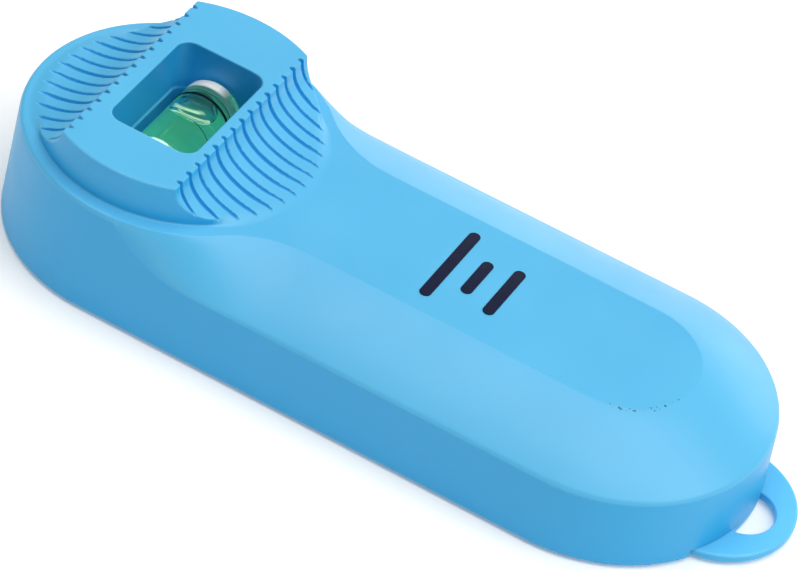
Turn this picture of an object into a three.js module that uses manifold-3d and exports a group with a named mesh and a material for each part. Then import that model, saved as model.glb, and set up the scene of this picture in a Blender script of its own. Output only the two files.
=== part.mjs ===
// Magnetic stud finder with a level vial across its head.
// Millimetres, +Z up. X runs from the round head to the tail, Y across the body.
// The origin is on the resting plane, under the middle of the overall length.
import * as THREE from "three";
import { mergeVertices } from "three/addons/utils/BufferGeometryUtils.js";
import Module from "manifold-3d";

const wasm = await Module();
wasm.setup();

// ---- Driving dimensions: body ----
const BODY_R = 20; // radius of the head and of the tail, at the lower edge
const SPAN = 61.4; // head centre to tail centre
const DRAFT = 0.035; // the wall leans in by this much for each mm of height
const LIFT = 0.4; // lower edge of the shell above the resting plane, set by the felt pads
const RIM_Z = LIFT + 15.1; // flat top of the head and body
const RIM_EDGE = 0.45; // height of the rounded edge round the head
const CREST_R = 19.3; // edge of the flat top on the head
const CREST_W = 9.2; // half width of the flat top along the body
const FLARE_R = 15; // concave flare from the head into the narrow flat top
const SHOULDER_Z = LIFT + 9.95; // height of the side wall along the body
const WEDGE = { start: 2.5, end: 14, power: 2.5 }; // where the side wall drops from rim to shoulder
const WALL = 1.9; // shell thickness

// ---- Head boss, bridge and finger scoops ----
const BOSS_R = 17.65;
const BOSS_TOP_R = 17.55;
const TOP_Z = LIFT + 20.7; // top of the bridge
// Each scoop is a quarter of a superellipse in XZ: steep at the bridge, level at the boss's edge.
const SCOOP = { end: 18.4, mid: TOP_Z + 0.55, long: 10.5, high: 5.5, power: 2.3, steps: 14 };
const GROOVES = 15; // on each side
const GROOVE_PITCH = 2.04;
const GROOVE_WIDTH = 0.58;
const GROOVE_DEPTH = 0.5;
const GROOVE_END = BOSS_R - 0.3;
const HOLLOW = { halfWidth: 5.5, ends: [[-15.4, -11.6], [10.6, 15.4]] }; // under the bridge's two ends

// ---- Window and vial ----
const WINDOW = { x: 0.45, y: -0.53, width: 11.74, length: 18.1, corner: 1.8 };
const LEDGE_Z = LIFT + 13.5; // narrow ledge round the foot of the window
const SLOT = { z: LIFT + 10, halfWidth: 5.25, near: -9.5, far: 8.35, corner: 1.65 }; // beside the vial
const VIAL = { x: 0.15, z: LIFT + 12.9, r: 4, bore: 3.3, near: -9.2, far: 8.3, closed: 1.8, plug: 3.7 };
const VIAL_GAP = 0.15; // round the vial in its seat
const LIQUID_TOP = VIAL.z + 0.9;
const BUBBLE = { x: VIAL.x - 0.4, y: 3.75, halfWidth: 2.79, halfLength: 2.65, gap: 0.15 };
const BUBBLE_FLOOR = LIQUID_TOP + 0.2;
const RINGS = [
  { name: "vial_ring_far", y: 4.85, width: 0.4 },
  { name: "vial_ring_near", y: 0.3, width: 0.16 },
];
const RING_THICK = 0.06;
const RING_GAP = 0.02;

// ---- Base, magnets and fasteners ----
const COVER_THICK = 1.2;
const COVER_GAP = 0.2;
const COVER_R = BODY_R - WALL + 0.3; // ends of the base cover
const LOOP = { x: SPAN + 15.57, r: 9.85, holeX: SPAN + 19.1, holeR: 3.95, rootX: SPAN + 12, notch: 10.3 };
const TOTAL_LENGTH = BODY_R + LOOP.x + LOOP.r;
const HEAD_X = BODY_R - TOTAL_LENGTH / 2; // head centre, with the origin at mid length
const MAGNET = { r: 6, thick: 3 };
const MAGNETS = [
  { name: "magnet_head_near", x: 0, y: -7.5 },
  { name: "magnet_head_far", x: 0, y: 7.5 },
  { name: "magnet_tail", x: 50, y: 0 },
];
const RIM_WALL = 1.1; // rim round each magnet
const RIM_GAP = 0.2;
const KEEPER_THICK = 1;
const KEEPER_HEAD = { width: 9, length: 22, corner: 2 };
const KEEPER_TAIL_R = 5.5;
const COVER_SCREWS = [[-9, -12.5], [-9, 12.5], [66, -11.5], [66, 11.5]];
const COVER_SCREW = { r: 0.95, headR: 1.9, headTall: 1, length: 7, point: 1.2, tip: 0.2 };
const DRIVE = { long: 2, wide: 0.45, deep: 1 }; // each bar of the cross recess
const RETAINER_SCREWS = [-14, 14];
const RETAINER_SCREW = { r: 0.8, headR: 1.7, headTall: 0.9, length: 5.2 };
const COVER_PILOT = { r: 1.1, top: LIFT + 8.4 };
const RETAINER_PILOT = { r: 0.95, top: LIFT + 12.4 };
const COVER_POST_R = 2.4;
const RETAINER_POST_R = 2;
const CLEARANCE = 0.2; // round each screw in its hole
const PAD_THICK = 0.7;
const PADS = [
  { name: "base_pad_head", x: 0, half: 0, r: 11 },
  { name: "base_pad_tail", x: 46, half: 8, r: 9 },
];
const MARKS = [
  { x: 37.6, y: 0, length: 13.7 },
  { x: 41.3, y: 0, length: 6.7 },
  { x: 45.1, y: -0.2, length: 9.3 },
];
const MARK_WIDTH = 1.5;
const MARK_THICK = 0.08;

const COVER_Z = LIFT + COVER_THICK; // inner face of the cover
const MAGNET_Z = COVER_Z + 0.05;
const KEEPER_Z = MAGNET_Z + MAGNET.thick + 0.05;
const RETAINER_Z = LIFT + 5.9;
const RETAINER_THICK = 1.7;
const RETAINER_PLATE = { width: 8, length: 32, corner: 3 };
const CHEEK = { inner: 2.9, outer: 3.8, near: -8.5, far: 7.6, top: VIAL.z - 1.2 };
const VIAL_PAD = { halfWidth: 2.5, near: -8, far: 7.2 };
const SEAT_Z = LIFT + 8.7; // lower end of the block that holds the vial
const SEAT = { halfWidth: 7.5, near: -11.6, far: 10.6 };
const POST_Z = COVER_Z + 0.3; // lower end of the posts for the cover screws

// ---- Materials ----
const paint = (color, roughness, metalness = 0) =>
  new THREE.MeshStandardMaterial({ color, roughness, metalness });
const BLUE = paint(0x58b6ee, 0.45);
const STEEL = paint(0xb9bcc0, 0.35, 1);
const BLACK = paint(0x111214, 0.5);
const WHITE = paint(0xf0efe9, 0.5);
const NAVY = paint(0x10244f, 0.6);

// ---- Helpers ----
const model = new THREE.Group();
model.position.x = HEAD_X;
const upright = new THREE.Matrix4().makeRotationX(Math.PI / 2);

function solid(geometry) {
  const bare = geometry.index ? geometry.clone() : geometry;
  bare.deleteAttribute("normal");
  bare.deleteAttribute("uv");
  const merged = mergeVertices(bare, 1e-5);
  return new wasm.Manifold(new wasm.Mesh({
    numProp: 3,
    vertProperties: new Float32Array(merged.attributes.position.array),
    triVerts: new Uint32Array(merged.index.array),
  }));
}

function geometryOf(manifold) {
  const mesh = manifold.getMesh();
  const geometry = new THREE.BufferGeometry();
  geometry.setAttribute("position", new THREE.BufferAttribute(mesh.vertProperties, 3));
  geometry.setIndex(new THREE.BufferAttribute(mesh.triVerts, 1));
  geometry.computeVertexNormals();
  return geometry;
}

function add(name, shape, material) {
  const geometry = shape.isBufferGeometry ? shape : geometryOf(shape);
  const mesh = new THREE.Mesh(geometry, material);
  mesh.name = name;
  model.add(mesh);
  return mesh;
}

// An upright cylinder or cone from z0 to z1.
function post(x, y, z0, z1, r0, r1 = r0, sides = 32) {
  const geometry = new THREE.CylinderGeometry(r1, r0, z1 - z0, sides);
  geometry.rotateX(Math.PI / 2);
  geometry.translate(x, y, (z0 + z1) / 2);
  return solid(geometry);
}

// A round bar along Y.
function barY(x, z, y0, y1, r, sides = 36) {
  const geometry = new THREE.CylinderGeometry(r, r, y1 - y0, sides);
  geometry.translate(x, (y0 + y1) / 2, z);
  return solid(geometry);
}

function block(x0, x1, y0, y1, z0, z1) {
  const geometry = new THREE.BoxGeometry(x1 - x0, y1 - y0, z1 - z0);
  geometry.translate((x0 + x1) / 2, (y0 + y1) / 2, (z0 + z1) / 2);
  return solid(geometry);
}

// A plan outline raised from z0 to z1.
function raise(shape, z0, z1, segments = 12) {
  const geometry = new THREE.ExtrudeGeometry(shape, {
    depth: z1 - z0, bevelEnabled: false, curveSegments: segments,
  });
  geometry.translate(0, 0, z0);
  return solid(geometry);
}

// An outline in the XZ plane, drawn out along Y.
function drawAlongY(shape, y0, y1, segments) {
  const geometry = new THREE.ExtrudeGeometry(shape, {
    depth: y1 - y0, bevelEnabled: false, curveSegments: segments,
  });
  geometry.applyMatrix4(upright);
  geometry.translate(0, y1, 0);
  return solid(geometry);
}

function roundedRect(x, y, width, length, corner) {
  const shape = new THREE.Shape();
  const right = x + width / 2;
  const left = x - width / 2;
  const top = y + length / 2;
  const bottom = y - length / 2;
  shape.moveTo(left + corner, bottom);
  shape.absarc(right - corner, bottom + corner, corner, -Math.PI / 2, 0);
  shape.absarc(right - corner, top - corner, corner, 0, Math.PI / 2);
  shape.absarc(left + corner, top - corner, corner, Math.PI / 2, Math.PI);
  shape.absarc(left + corner, bottom + corner, corner, Math.PI, 1.5 * Math.PI);
  return shape;
}

function stadium(x0, x1, r) {
  const shape = new THREE.Shape();
  shape.absarc(x1, 0, r, -Math.PI / 2, Math.PI / 2);
  shape.absarc(x0, 0, r, Math.PI / 2, 1.5 * Math.PI);
  return shape;
}

const joined = (first, ...others) => others.reduce((sum, part) => sum.add(part), first);
const cutBy = (first, ...others) => others.reduce((rest, part) => rest.subtract(part), first);

// ---- Outer form of the body ----
const wallR = (z, inset) => BODY_R - DRAFT * (z - LIFT) - inset;

// Half width of the flat top at x: the head's circle, a concave flare, then a straight strip.
function crestHalf(x, inset) {
  const headR = CREST_R - inset;
  const half = CREST_W - inset * 0.4;
  const flareX = Math.sqrt((headR + FLARE_R) ** 2 - (half + FLARE_R) ** 2);
  if (x <= (flareX * headR) / (headR + FLARE_R)) return Math.sqrt(headR * headR - x * x);
  if (x < flareX) return half + FLARE_R - Math.sqrt(FLARE_R ** 2 - (x - flareX) ** 2);
  return half;
}

// Height of the side wall at x: full height at the head, then down to the shoulder.
function wallTop(x) {
  const way = (x - WEDGE.start) / (WEDGE.end - WEDGE.start);
  const left = (1 - Math.min(1, Math.max(0, way))) ** WEDGE.power;
  return SHOULDER_Z + (RIM_Z - RIM_EDGE - SHOULDER_Z) * left;
}

// Stations round the plan, each with a direction of the wall and a way to place a point.
function stations(arcSteps, sideSteps) {
  const list = [];
  for (let i = 0; i < arcSteps; i++) {
    const angle = Math.PI / 2 + (Math.PI * i) / arcSteps;
    list.push({ x: 0, dx: Math.cos(angle), dy: Math.sin(angle), along: 0, head: true });
  }
  for (let i = 0; i < sideSteps; i++) {
    const x = SPAN * (i / sideSteps) ** 1.6;
    list.push({ x, dx: 0, dy: -1, along: x });
  }
  for (let i = 0; i < arcSteps; i++) {
    const angle = -Math.PI / 2 + (Math.PI * i) / arcSteps;
    list.push({ x: SPAN, dx: Math.cos(angle), dy: Math.sin(angle), along: SPAN });
  }
  for (let i = 0; i < sideSteps; i++) {
    const x = SPAN * (1 - i / sideSteps) ** 1.6;
    list.push({ x, dx: 0, dy: 1, along: x });
  }
  return list;
}

// The body as rings of points from the lower edge, up the wall, over the shoulder to the flat top.
function bodyForm(inset, lower, zBase, arcSteps, sideSteps) {
  const around = stations(arcSteps, sideSteps);
  const place = (s, reach, z) => new THREE.Vector3(s.x + s.dx * reach, s.dy * reach, z);
  const rings = [around.map((s) => place(s, wallR(zBase, inset), zBase))];
  for (const t of [1, 0.75, 0.5, 0.25, 0]) {
    rings.push(around.map((s) => {
      const top = wallTop(s.along);
      const outer = wallR(top, inset);
      const crest = s.head ? CREST_R - inset : crestHalf(s.along, inset);
      const z = RIM_Z - (RIM_Z - top) * (0.42 * t + 0.58 * t * t) - lower;
      return place(s, crest + (outer - crest) * t, z);
    }));
  }
  const count = around.length;
  const points = rings.flat();
  const faces = [];
  for (let ring = 0; ring + 1 < rings.length; ring++) {
    for (let i = 0; i < count; i++) {
      const a = ring * count + i;
      const b = ring * count + ((i + 1) % count);
      faces.push(a, b, b + count, a, b + count, a + count);
    }
  }
  const cap = (ring, flip) => {
    const flat = rings[ring].map((p) => new THREE.Vector2(p.x, p.y));
    for (const [a, b, c] of THREE.ShapeUtils.triangulateShape(flat, [])) {
      const face = [a, b, c].map((i) => i + ring * count);
      faces.push(...(flip ? face.reverse() : face));
    }
  };
  cap(0, true);
  cap(rings.length - 1, false);
  const geometry = new THREE.BufferGeometry().setFromPoints(points);
  geometry.setIndex(faces);
  return solid(geometry);
}

// ---- Scoops and grooves ----
// The space above a scoop's curve, or above the same curve set deeper, out to endX.
function scoopShape(side, deeper, endX) {
  const long = SCOOP.long + deeper;
  const high = SCOOP.high + deeper * 0.8;
  const bend = 2 / SCOOP.power;
  const points = [];
  for (let i = 0; i < SCOOP.steps; i++) {
    const angle = (Math.PI / 2) * (i / SCOOP.steps);
    const x = SCOOP.end - long * Math.cos(angle) ** bend;
    const z = SCOOP.mid - high * Math.sin(angle) ** bend;
    if (x < endX - 0.2) points.push(new THREE.Vector2(side * x, z));
  }
  points.push(new THREE.Vector2(side * endX, SCOOP.mid - high));
  points.push(new THREE.Vector2(side * endX, SCOOP.mid));
  return new THREE.Shape(points);
}

// ---- Top shell ----
function topShell() {
  const outside = bodyForm(0, 0, LIFT, 26, 14);
  const boss = post(0, 0, RIM_Z - 2, TOP_Z, BOSS_R, BOSS_TOP_R, 60);
  const scoops = [-1, 1].map((side) => drawAlongY(scoopShape(side, 0, BODY_R), -BODY_R, BODY_R, 1));
  const outer = joined(outside, cutBy(boss, ...scoops));

  const inside = bodyForm(WALL, WALL, LIFT - 1, 12, 7);
  const seat = block(
    WINDOW.x - SEAT.halfWidth, WINDOW.x + SEAT.halfWidth, SEAT.near, SEAT.far, SEAT_Z, RIM_Z);
  const coverPosts = COVER_SCREWS.map(([x, y]) =>
    post(x, y, POST_Z, RIM_Z, COVER_POST_R, undefined, 20));
  const footZ = RETAINER_Z + RETAINER_THICK + 0.1;
  const retainerPosts = RETAINER_SCREWS.map((y) =>
    post(VIAL.x, y, footZ, TOP_Z - 1, RETAINER_POST_R, undefined, 20));
  const kept = joined(seat, ...coverPosts).intersect(outside);
  const grooves = [];
  for (const side of [-1, 1]) {
    for (let i = 0; i < GROOVES; i++) {
      const y = (i - (GROOVES - 1) / 2) * GROOVE_PITCH;
      const shape = scoopShape(side, GROOVE_DEPTH, GROOVE_END);
      grooves.push(drawAlongY(shape, y - GROOVE_WIDTH / 2, y + GROOVE_WIDTH / 2, 1));
    }
  }
  const pocket = raise(
    roundedRect(WINDOW.x, WINDOW.y, WINDOW.width, WINDOW.length, WINDOW.corner), LEDGE_Z, TOP_Z + 1, 5);
  const beside = raise(
    roundedRect(VIAL.x, (SLOT.near + SLOT.far) / 2, 2 * SLOT.halfWidth, SLOT.far - SLOT.near, SLOT.corner),
    SLOT.z, LEDGE_Z + 0.1, 5);
  const seatR = VIAL.r + VIAL_GAP;
  const slot = joined(
    barY(VIAL.x, VIAL.z, VIAL.near - VIAL_GAP, VIAL.far + VIAL_GAP, seatR),
    block(VIAL.x - seatR, VIAL.x + seatR, VIAL.near - VIAL_GAP, VIAL.far + VIAL_GAP, SEAT_Z - 1, VIAL.z));
  const hollows = HOLLOW.ends.map(([y0, y1]) =>
    block(-HOLLOW.halfWidth, HOLLOW.halfWidth, y0, y1, RIM_Z - WALL - 1, TOP_Z - WALL));
  const pilots = COVER_SCREWS.map(([x, y]) =>
    post(x, y, POST_Z - 1, COVER_PILOT.top, COVER_PILOT.r, undefined, 16));
  const retainerPilots = RETAINER_SCREWS.map((y) =>
    post(VIAL.x, y, RETAINER_Z, RETAINER_PILOT.top, RETAINER_PILOT.r, undefined, 16));
  // The base cover fits inside the wall, and its loop passes under the wall at the tail.
  const recess = raise(stadium(0, SPAN, COVER_R + COVER_GAP), LIFT - 1, COVER_Z + 0.1, 20);
  const notch = block(LOOP.rootX, SPAN + BODY_R + 1, -LOOP.notch, LOOP.notch, LIFT - 1, COVER_Z + 0.1);

  const hollowed = joined(cutBy(outer, inside, ...hollows), kept, ...retainerPosts);
  return cutBy(hollowed, ...grooves, pocket, beside, slot, ...pilots, ...retainerPilots, recess, notch);
}

// ---- Base cover with the lanyard loop ----
function baseCover() {
  const plate = raise(stadium(0, SPAN, COVER_R), LIFT, COVER_Z, 20);
  const loop = post(LOOP.x, 0, LIFT, COVER_Z, LOOP.r, LOOP.r, 48);
  const root = block(LOOP.rootX, LOOP.x + 1.2, -LOOP.r - 0.1, LOOP.r + 0.1, LIFT, COVER_Z);
  const hole = cutBy(
    post(LOOP.holeX, 0, LIFT - 1, COVER_Z + 1, LOOP.holeR, LOOP.holeR, 32),
    post(SPAN, 0, LIFT - 2, COVER_Z + 2, BODY_R, BODY_R, 72));
  const rims = MAGNETS.map(({ x, y }) => cutBy(
    post(x, y, COVER_Z - 0.5, MAGNET_Z + MAGNET.thick - 0.3, MAGNET.r + RIM_GAP + RIM_WALL, undefined, 28),
    post(x, y, COVER_Z, MAGNET_Z + MAGNET.thick + 1, MAGNET.r + RIM_GAP, undefined, 28)));
  const holes = COVER_SCREWS.map(([x, y]) => joined(
    post(x, y, LIFT - 1, COVER_Z + 1, COVER_SCREW.r + CLEARANCE, undefined, 16),
    post(x, y, LIFT - 0.01, LIFT + COVER_SCREW.headTall, COVER_SCREW.headR + CLEARANCE,
      COVER_SCREW.r + CLEARANCE, 16)));
  const recesses = PADS.map((pad) =>
    raise(stadium(pad.x - pad.half, pad.x + pad.half, pad.r + 0.15), LIFT - 1, PAD_THICK, 14));
  const cover = joined(plate, root, loop, ...rims);
  return cutBy(cover, hole, ...holes, ...recesses);
}

// ---- Vial ----
function vialBarrel() {
  const tube = barY(VIAL.x, VIAL.z, VIAL.near, VIAL.far, VIAL.r);
  return tube.subtract(barY(VIAL.x, VIAL.z, VIAL.near - 1, VIAL.far - VIAL.closed, VIAL.bore));
}

function vialLiquid() {
  const fill = barY(VIAL.x, VIAL.z, VIAL.near + VIAL.plug + 0.1, VIAL.far - VIAL.closed - 0.1,
    VIAL.bore - 0.1);
  return fill.subtract(block(-BODY_R, BODY_R, -BODY_R, BODY_R, LIQUID_TOP, TOP_Z));
}

function vialRing({ y, width }) {
  const innerR = VIAL.r + RING_GAP;
  const band = barY(VIAL.x, VIAL.z, y - width / 2, y + width / 2, innerR + RING_THICK);
  return band.subtract(barY(VIAL.x, VIAL.z, y - 1, y + 1, innerR));
}

// The bubble fills the top of the bore above the liquid, with rounded ends in plan.
function bubble() {
  const plan = new THREE.Shape();
  plan.absellipse(BUBBLE.x, BUBBLE.y, BUBBLE.halfWidth, BUBBLE.halfLength, 0, 2 * Math.PI);
  const reach = BUBBLE.halfLength + 1;
  const room = barY(VIAL.x, VIAL.z, BUBBLE.y - reach, BUBBLE.y + reach, VIAL.bore - BUBBLE.gap);
  return raise(plan, BUBBLE_FLOOR, VIAL.z + VIAL.bore).intersect(room);
}

// ---- Vial retainer: a plate with a saddle that holds the foam pad ----
function vialRetainer() {
  const { width, length, corner } = RETAINER_PLATE;
  const top = RETAINER_Z + RETAINER_THICK;
  const plate = raise(roundedRect(VIAL.x, 0, width, length, corner), RETAINER_Z, top, 6);
  const cheeks = [-1, 1].map((side) => {
    const outer = VIAL.x + side * CHEEK.outer;
    const inner = VIAL.x + side * CHEEK.inner;
    return block(Math.min(outer, inner), Math.max(outer, inner), CHEEK.near, CHEEK.far, top - 0.2, CHEEK.top);
  });
  const room = barY(VIAL.x, VIAL.z, CHEEK.near - 1, CHEEK.far + 1, VIAL.r + 2 * VIAL_GAP);
  const holes = RETAINER_SCREWS.map((y) =>
    post(VIAL.x, y, RETAINER_Z - 1, top + 1, RETAINER_SCREW.r + CLEARANCE, undefined, 20));
  return cutBy(joined(plate, ...cheeks), room, ...holes);
}

function coverScrew([x, y]) {
  const bottom = LIFT + 0.05;
  const tip = LIFT + COVER_SCREW.length;
  const shoulder = tip - COVER_SCREW.point;
  const head = post(x, y, bottom, bottom + COVER_SCREW.headTall, COVER_SCREW.headR, COVER_SCREW.r, 16);
  const shank = post(x, y, bottom + 0.45, shoulder, COVER_SCREW.r, undefined, 16);
  const point = post(x, y, shoulder, tip, COVER_SCREW.r, COVER_SCREW.tip, 16);
  const recess = [0, Math.PI / 2].map((turn) => {
    const bar = new THREE.BoxGeometry(DRIVE.long, DRIVE.wide, DRIVE.deep);
    bar.rotateZ(turn);
    bar.translate(x, y, bottom);
    return solid(bar);
  });
  return cutBy(joined(head, shank, point), ...recess);
}

function retainerScrew(y) {
  const top = RETAINER_Z - 0.05;
  const head = post(VIAL.x, y, top - RETAINER_SCREW.headTall, top, RETAINER_SCREW.headR - 0.3,
    RETAINER_SCREW.headR, 20);
  const shank = post(VIAL.x, y, top - 0.2, top + RETAINER_SCREW.length, RETAINER_SCREW.r, undefined, 20);
  return head.add(shank);
}

function markBar({ x, y, length }) {
  const shape = roundedRect(x, y, MARK_WIDTH, length, MARK_WIDTH / 2 - 0.01);
  const bottom = RIM_Z + 0.02;
  return raise(shape, bottom, bottom + MARK_THICK, 5);
}

// ---- Assembly ----
add("top_shell", topShell(), BLUE);
add("base_cover", baseCover(), BLUE);

const clear = paint(0xe8f4ef, 0.05);
clear.transparent = true;
clear.opacity = 0.35;
add("vial_barrel", vialBarrel(), clear);
add("vial_end_plug", barY(VIAL.x, VIAL.z, VIAL.near, VIAL.near + VIAL.plug, VIAL.bore - 0.08), WHITE);
add("vial_liquid", vialLiquid(), paint(0x2fb86f, 0.1));
add("vial_bubble", bubble(), paint(0xdff5d8, 0.05));
for (const ring of RINGS) add(ring.name, vialRing(ring), BLACK);

add("vial_retainer", vialRetainer(), WHITE);
const pad = block(VIAL.x - VIAL_PAD.halfWidth, VIAL.x + VIAL_PAD.halfWidth, VIAL_PAD.near, VIAL_PAD.far,
  RETAINER_Z + RETAINER_THICK + 0.1, VIAL.z - VIAL.r - 0.1);
add("vial_pad", pad, paint(0x2b2d30, 0.95));
RETAINER_SCREWS.forEach((y, i) => add(`retainer_screw_${i + 1}`, retainerScrew(y), STEEL));

const NICKEL = paint(0xc9cbce, 0.25, 1);
for (const { name, x, y } of MAGNETS) {
  add(name, post(x, y, MAGNET_Z, MAGNET_Z + MAGNET.thick, MAGNET.r, undefined, 28), NICKEL);
}
const keeperTop = KEEPER_Z + KEEPER_THICK;
const keeperPlan = roundedRect(0, 0, KEEPER_HEAD.width, KEEPER_HEAD.length, KEEPER_HEAD.corner);
add("keeper_plate_head", raise(keeperPlan, KEEPER_Z, keeperTop, 6), STEEL);
add("keeper_plate_tail", post(MAGNETS[2].x, 0, KEEPER_Z, keeperTop, KEEPER_TAIL_R, undefined, 36), STEEL);

COVER_SCREWS.forEach((place, i) => add(`cover_screw_${i + 1}`, coverScrew(place), STEEL));
for (const { name, x, half, r } of PADS) {
  add(name, raise(stadium(x - half, x + half, r), 0, PAD_THICK - 0.05, 14), paint(0x2a3038, 1));
}
MARKS.forEach((mark, i) => add(`mark_bar_${i + 1}`, markBar(mark), NAVY));

export default model;
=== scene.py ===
"""Looks of the magnetic stud finder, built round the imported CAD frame.

Shapes are worked out in millimetres in the head's own frame (X from the head's centre to the tail,
Z up from the resting plane) and placed in metres in the row frame by place(). Dimensions follow
the CAD, with small differences.
"""
import math

import bmesh
import bpy
import numpy as np
from mathutils import Matrix, Vector


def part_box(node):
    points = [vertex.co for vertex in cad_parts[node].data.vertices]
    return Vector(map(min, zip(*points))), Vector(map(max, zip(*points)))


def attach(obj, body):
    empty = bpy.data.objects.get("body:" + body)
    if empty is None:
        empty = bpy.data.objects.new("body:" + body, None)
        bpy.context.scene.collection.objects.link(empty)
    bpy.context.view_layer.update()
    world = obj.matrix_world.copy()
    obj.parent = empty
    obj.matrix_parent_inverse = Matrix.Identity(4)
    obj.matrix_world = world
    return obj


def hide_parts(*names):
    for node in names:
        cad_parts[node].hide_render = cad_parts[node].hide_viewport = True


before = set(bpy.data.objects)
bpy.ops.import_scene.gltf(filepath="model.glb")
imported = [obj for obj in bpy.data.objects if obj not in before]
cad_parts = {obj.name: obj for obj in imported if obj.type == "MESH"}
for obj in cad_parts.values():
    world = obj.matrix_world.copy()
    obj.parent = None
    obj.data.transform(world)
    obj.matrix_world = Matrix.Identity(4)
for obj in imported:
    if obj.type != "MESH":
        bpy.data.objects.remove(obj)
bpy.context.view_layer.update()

MM = 0.001
HOUSING = "housing"
BUBBLE_BODY = "bubble"

# ---- Dimensions in millimetres: the body ----
BODY_R = 20.0  # head and tail at the lower edge
SPAN = 61.4  # head centre to tail centre
DRAFT = 0.035
LIFT = 0.4  # lower edge above the resting plane
RIM_Z = LIFT + 15.1  # flat top
CREST_R = 19.3  # edge of the flat top on the head
CREST_W = 9.2  # half width of the flat top along the body
FLARE_R = 15.0
SHOULDER_Z = LIFT + 9.95  # top of the wall along the body
WEDGE_START, WEDGE_END, WEDGE_POWER = 2.5, 14.0, 2.5  # the wall drops to the shoulder
CROWN, CROWN_REACH = 0.3, 8.0  # the flat top rises a little round the boss
WALL = 1.9

# Boss, finger scoops and their grooves
BOSS_R = 17.65
BOSS_TOP_R = 17.55
TOP_Z = LIFT + 20.7
SCOOP_END, SCOOP_MID = 18.4, TOP_Z + 0.55
SCOOP_HALVES, SCOOP_POWER, SCOOP_SAG = (10.5, 5.5), 2.3, 0.4
RAMP_START, RAMP_REACH = 0.66, 0.2  # share of the radius that lies along X
RAMP_SLOPE, RAMP_OUT = 2.2, 0.3
GROOVES = 15
GROOVE_PITCH = 2.04
GROOVE_DEPTH = 0.72
GROOVE_HALF = 0.32
GROOVE_SHIFT = 0.05
GROOVE_FADE = 1.2  # the grooves run out over this much of the boss's edge

# Window pocket, the deeper slot round the vial, and the block inside the shell that holds them
WINDOW_X, WINDOW_Y = 0.45, -0.53
WINDOW_W, WINDOW_L, WINDOW_CORNER = 11.74, 18.1, 1.8
LEDGE_Z = LIFT + 13.5
STEP_Z = LIFT + 10.0
STEP_HALF, STEP_NEAR, STEP_FAR, STEP_CORNER = 5.3, -9.5, 8.5, 1.65
SEAT_Z = LIFT + 8.7
SEAT_HALF_X, SEAT_HALF_Y, SEAT_Y = 7.5, 11.1, -0.5

# Vial, its bubble and its rings
VIAL_X, VIAL_Z, VIAL_R, BORE_R = 0.15, LIFT + 12.9, 4.0, 3.3
VIAL_NEAR, VIAL_FAR, VIAL_PLUG, VIAL_CLOSED = -9.2, 8.3, 3.7, 1.8
BUBBLE_X, BUBBLE_Y, BUBBLE_HALF = VIAL_X - 0.7, 3.8, 2.6
BUBBLE_FLOOR, BUBBLE_ROUND = 1.1, 0.92
LIQUID_IOR = 1.36
RINGS = {"vial_ring_far": (4.85, 0.4), "vial_ring_near": (0.3, 0.1)}  # y, width

# Vial retainer and its foam strip
RETAINER_Z, RETAINER_THICK = LIFT + 5.9, 1.7
RETAINER_PLATE = (8.0, 32.0, 3.0)  # width, length, corner
CHEEK_X, CHEEK_HALF_X, CHEEK_Y, CHEEK_HALF_Y = 3.35, 0.45, -0.45, 8.05
FOAM_HALF_X, FOAM_HALF_Y, FOAM_Y = 2.42, 7.5, -0.4

# Screws: places, then head radius, head height, shank radius and length
COVER_SCREWS = ((-9, -12.5), (-9, 12.5), (66, -11.5), (66, 11.5))
RETAINER_SCREWS = (-14, 14)
COVER_SCREW = (1.9, 1.0, 0.95, 6.9)
RETAINER_SCREW = (1.7, 0.9, 0.8, 6.0)
COVER_POST_R, RETAINER_POST_R = 2.4, 2.0
COVER_PILOT = (1.1, LIFT + 8.4)  # radius, upper end
RETAINER_PILOT = (0.95, LIFT + 12.4)
HOLE_R, SINK_R = 1.15, 2.1  # the cover's screw holes

# Base cover with its loop, pads, magnets and keepers
COVER_Z = LIFT + 1.2
COVER_R = BODY_R - WALL + 0.3  # ends of the plate
COVER_GAP = 0.2
LOOP_HALF = 10.3
LOOP_X, LOOP_R = SPAN + 15.57, 9.85
LOOP_HOLE_X, LOOP_HOLE_R = SPAN + 19.1, 3.95
PAD_THICK = 0.7
PADS = {"base_pad_head": (0, 0, 11), "base_pad_tail": (38, 54, 9)}  # end centres, radius
MAGNET_R, MAGNET_THICK = 6.0, 3.0
MAGNETS = {"magnet_head_near": (0, -7.5), "magnet_head_far": (0, 7.5), "magnet_tail": (50, 0)}
RIM_MIDDLE, RIM_HALF, RIM_TALL = 0.75, 0.55, 2.75  # the rims round the magnets
KEEPER_THICK = 1.0
KEEPER_HEAD = (9, 22, 2)  # width, length, corner
KEEPER_TAIL_R = 5.5

# Print on the flat top: place and length of each bar
MARKS = {"mark_bar_1": (37.6, 0, 13.7), "mark_bar_2": (41.3, 0, 6.7), "mark_bar_3": (45.1, -0.2, 9.3)}
MARK_WIDTH, MARK_THICK = 1.5, 0.08

# ---- View and light ----
VIEW_AZIMUTH, VIEW_ELEVATION, VIEW_ROLL = 20.44, 42.05, 13.03
AIM = (28.42, 9.67, LIFT - 0.96)
DISTANCE = 599.8
LENS, SENSOR = 220.5, 36
FLOOR_Z, FLOOR_HALF = -0.00002, 3.0  # metres
FLOOR_GLOW = 0.2
WORLD = 0.045
LIGHTS = (  # name, place and size in metres, power, colour
    ("overhead", (0, 0, 0.9), (0.9, 0.9), 6.7, (1.0, 1.0, 1.0)),
    ("right", (0.7, 0, 0.7), (0.7, 0.7), 4.5, (1.0, 1.0, 1.0)),
    ("back", (0, 0.95, 0.25), (1.2, 0.45), 3.6, (1.0, 0.98, 0.95)),
    ("left", (-0.95, 0, 0.25), (1.0, 0.45), 1.05, (0.65, 0.91, 1.0)),
    ("front", (0, -0.95, 0.25), (1.0, 0.45), 0.57, (0.75, 0.93, 1.0)),
)

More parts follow.
